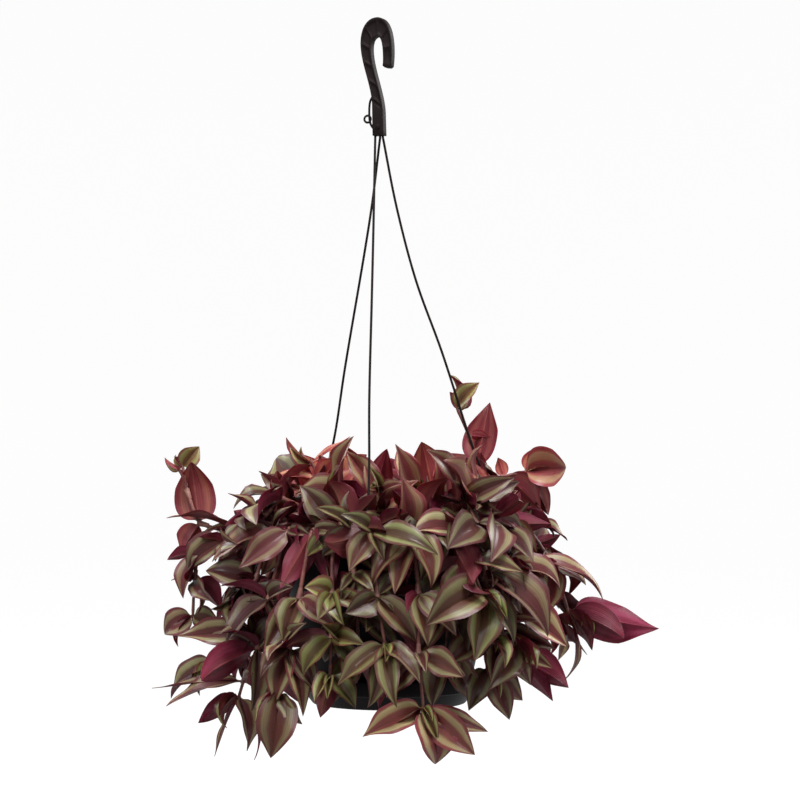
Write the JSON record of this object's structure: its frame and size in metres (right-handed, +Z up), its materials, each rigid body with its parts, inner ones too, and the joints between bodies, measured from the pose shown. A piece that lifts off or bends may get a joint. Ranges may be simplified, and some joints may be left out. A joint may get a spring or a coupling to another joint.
{
  "type": "potted tradescantia",
  "caption": "Trailing houseplant with silver-striped purple leaves, growing in a dark plastic hanging pot with a drip saucer and a three-legged hook hanger.",
  "frame": {"origin": "the bearing point inside the top of the hook's arch, which the whole plant hangs from", "axes": "+Z up, +X to the viewer's right, +Y away from the viewer of the front"},
  "size_m": [0.331, 0.2463, 0.4888],
  "materials": {
    "hanger_plastic": "satin",
    "pot_plastic": "satin",
    "soil": "matte",
    "foliage": "satin"
  },
  "bodies": {
    "root": {"hook": "hanger_plastic", "leg_front": "hanger_plastic", "leg_left": "hanger_plastic", "leg_right": "hanger_plastic", "pot": "pot_plastic", "saucer": "pot_plastic", "soil": "soil", "stem_arch": "foliage", "stem_centre_magenta": "foliage", "stem_coral": "foliage", "stem_curtain_left": "foliage", "stem_curtain_right": "foliage", "stem_ember": "foliage", "stem_far_left": "foliage", "stem_far_right": "foliage", "stem_fill_1": "foliage", "stem_fill_10": "foliage", "stem_fill_11": "foliage", "stem_fill_12": "foliage", "stem_fill_13": "foliage", "stem_fill_14": "foliage", "stem_fill_15": "foliage", "stem_fill_16": "foliage", "stem_fill_17": "foliage", "stem_fill_18": "foliage", "stem_fill_2": "foliage", "stem_fill_3": "foliage", "stem_fill_4": "foliage", "stem_fill_5": "foliage", "stem_fill_6": "foliage", "stem_fill_7": "foliage", "stem_fill_8": "foliage", "stem_fill_9": "foliage", "stem_fire_left": "foliage", "stem_left_back": "foliage", "stem_left_bottom": "foliage", "stem_left_front": "foliage", "stem_left_low": "foliage", "stem_left_trail": "foliage", "stem_right_fan": "foliage", "stem_right_front": "foliage", "stem_right_low": "foliage", "stem_right_magenta": "foliage", "stem_right_tall": "foliage", "stem_silver": "foliage", "stem_sprig": "foliage", "stem_star": "foliage", "stem_young": "foliage"}
  },
  "joints": []
}
